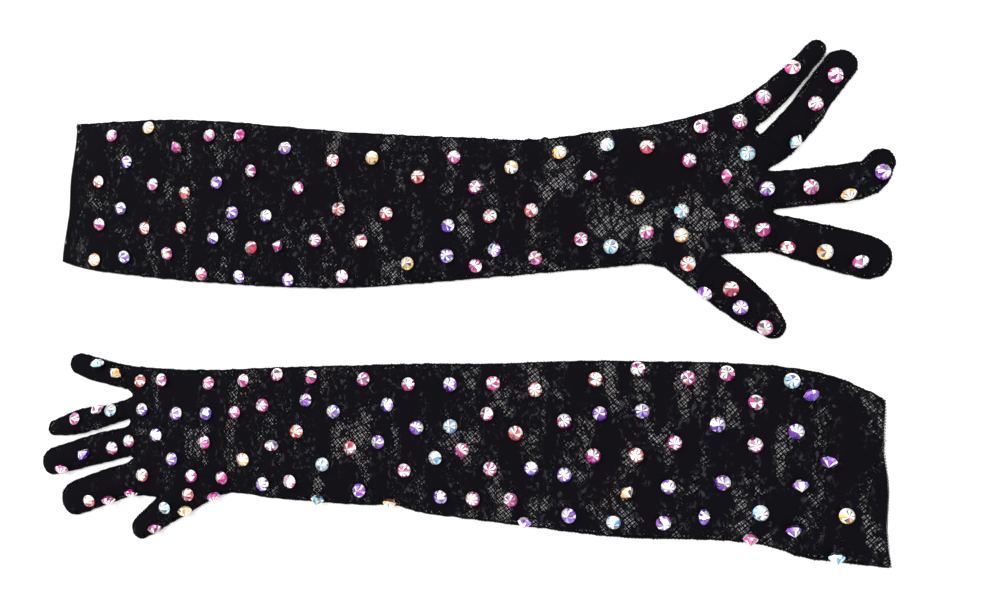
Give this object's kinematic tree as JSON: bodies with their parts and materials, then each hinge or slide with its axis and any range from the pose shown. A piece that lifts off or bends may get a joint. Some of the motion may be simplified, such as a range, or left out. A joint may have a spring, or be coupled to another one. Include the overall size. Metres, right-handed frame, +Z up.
{
  "type": "opera gloves",
  "caption": "Pair of long black lace opera gloves lying flat, palm down, with pointed crystals glued over the backs, and fingers and arms that fold.",
  "frame": {"origin": "centre of the bottom of the pair's bounding box, on the surface the gloves lie on", "axes": "+X along the sleeves, towards the left glove's fingers; +Y from the right glove to the left glove; +Z up, out of the backs of the gloves"},
  "size_m": [0.5692, 0.3136, 0.0133],
  "materials": {
    "lace": "matte stretch lace, solid motifs on a fine net",
    "seam_thread": "matte overlocked seam",
    "cuff_hem": "matte turned hem",
    "crystal": "polished, iridescent coat, foiled behind"
  },
  "bodies": {
    "right_sleeve": {"right_sleeve_back_panel": "lace", "right_sleeve_palm_panel": "lace", "right_sleeve_outer_seam": "seam_thread", "right_sleeve_thumb_seam": "seam_thread", "right_cuff_hem": "cuff_hem", "right_sleeve_crystals_outer": "crystal", "right_sleeve_crystals_middle": "crystal", "right_sleeve_crystals_inner": "crystal"},
    "right_hand": {"right_hand_back_panel": "lace", "right_hand_palm_panel": "lace", "right_hand_outer_seam": "seam_thread", "right_hand_thumb_seam": "seam_thread", "right_hand_crystals_outer": "crystal", "right_hand_crystals_middle": "crystal", "right_hand_crystals_inner": "crystal"},
    "right_thumb": {"right_thumb_back": "lace", "right_thumb_palm": "lace", "right_thumb_crystals": "crystal"},
    "right_index": {"right_index_back": "lace", "right_index_palm": "lace", "right_index_crystals": "crystal"},
    "right_middle": {"right_middle_back": "lace", "right_middle_palm": "lace", "right_middle_crystals": "crystal"},
    "right_ring": {"right_ring_back": "lace", "right_ring_palm": "lace", "right_ring_crystals": "crystal"},
    "right_little": {"right_little_back": "lace", "right_little_palm": "lace", "right_little_crystals": "crystal"},
    "left_sleeve": {"left_sleeve_back_panel": "lace", "left_sleeve_palm_panel": "lace", "left_sleeve_outer_seam": "seam_thread", "left_sleeve_thumb_seam": "seam_thread", "left_cuff_hem": "cuff_hem", "left_sleeve_crystals_outer": "crystal", "left_sleeve_crystals_middle": "crystal", "left_sleeve_crystals_inner": "crystal"},
    "left_hand": {"left_hand_back_panel": "lace", "left_hand_palm_panel": "lace", "left_hand_outer_seam": "seam_thread", "left_hand_thumb_seam": "seam_thread", "left_hand_crystals_outer": "crystal", "left_hand_crystals_middle": "crystal", "left_hand_crystals_inner": "crystal"},
    "left_thumb": {"left_thumb_back": "lace", "left_thumb_palm": "lace", "left_thumb_crystals": "crystal"},
    "left_index": {"left_index_back": "lace", "left_index_palm": "lace", "left_index_crystals": "crystal"},
    "left_middle": {"left_middle_back": "lace", "left_middle_palm": "lace", "left_middle_crystals": "crystal"},
    "left_ring": {"left_ring_back": "lace", "left_ring_palm": "lace", "left_ring_crystals": "crystal"},
    "left_little": {"left_little_back": "lace", "left_little_palm": "lace", "left_little_crystals": "crystal"}
  },
  "joints": [
    {"name": "left_glove_slide", "type": "slide", "parent": "right_sleeve", "child": "left_sleeve", "axis": [0, 1, 0], "range_m": [0, 0.2]},
    {"name": "right_arm_fold", "type": "hinge", "parent": "right_sleeve", "child": "right_hand", "pos_m": [0.00633, -0.086, 0.007], "axis": [0, 1, 0], "range_deg": [0, 120]},
    {"name": "right_thumb_fold", "type": "hinge", "parent": "right_hand", "child": "right_thumb", "pos_m": [-0.18407, -0.13665, 0.007], "axis": [-0.585, 0.8111, 0], "range_deg": [0, 90]},
    {"name": "right_index_fold", "type": "hinge", "parent": "right_hand", "child": "right_index", "pos_m": [-0.21267, -0.11675, 0.007], "axis": [-0.2773, 0.9608, 0], "range_deg": [0, 90]},
    {"name": "right_middle_fold", "type": "hinge", "parent": "right_hand", "child": "right_middle", "pos_m": [-0.21487, -0.09055, 0.007], "axis": [-0.2198, 0.9755, 0], "range_deg": [0, 90]},
    {"name": "right_ring_fold", "type": "hinge", "parent": "right_hand", "child": "right_ring", "pos_m": [-0.21647, -0.06835, 0.007], "axis": [-0.2823, 0.9593, 0], "range_deg": [0, 90]},
    {"name": "right_little_fold", "type": "hinge", "parent": "right_hand", "child": "right_little", "pos_m": [-0.21467, -0.04585, 0.007], "axis": [0.213, 0.977, 0], "range_deg": [0, 90]},
    {"name": "left_arm_fold", "type": "hinge", "parent": "left_sleeve", "child": "left_hand", "pos_m": [0.00733, 0.066, 0.007], "axis": [0, -1, 0], "range_deg": [0, 120]},
    {"name": "left_thumb_fold", "type": "hinge", "parent": "left_hand", "child": "left_thumb", "pos_m": [0.17883, 0.02005, 0.007], "axis": [-0.6561, -0.7547, 0], "range_deg": [0, 90]},
    {"name": "left_index_fold", "type": "hinge", "parent": "left_hand", "child": "left_index", "pos_m": [0.21933, 0.04175, 0.007], "axis": [-0.3156, -0.9489, 0], "range_deg": [0, 90]},
    {"name": "left_middle_fold", "type": "hinge", "parent": "left_hand", "child": "left_middle", "pos_m": [0.21833, 0.06755, 0.007], "axis": [0.068, -0.9977, 0], "range_deg": [0, 90]},
    {"name": "left_ring_fold", "type": "hinge", "parent": "left_hand", "child": "left_ring", "pos_m": [0.21933, 0.09455, 0.007], "axis": [0.7314, -0.682, 0], "range_deg": [0, 90]},
    {"name": "left_little_fold", "type": "hinge", "parent": "left_hand", "child": "left_little", "pos_m": [0.20633, 0.11555, 0.007], "axis": [0.6115, -0.7912, 0], "range_deg": [0, 90]}
  ]
}
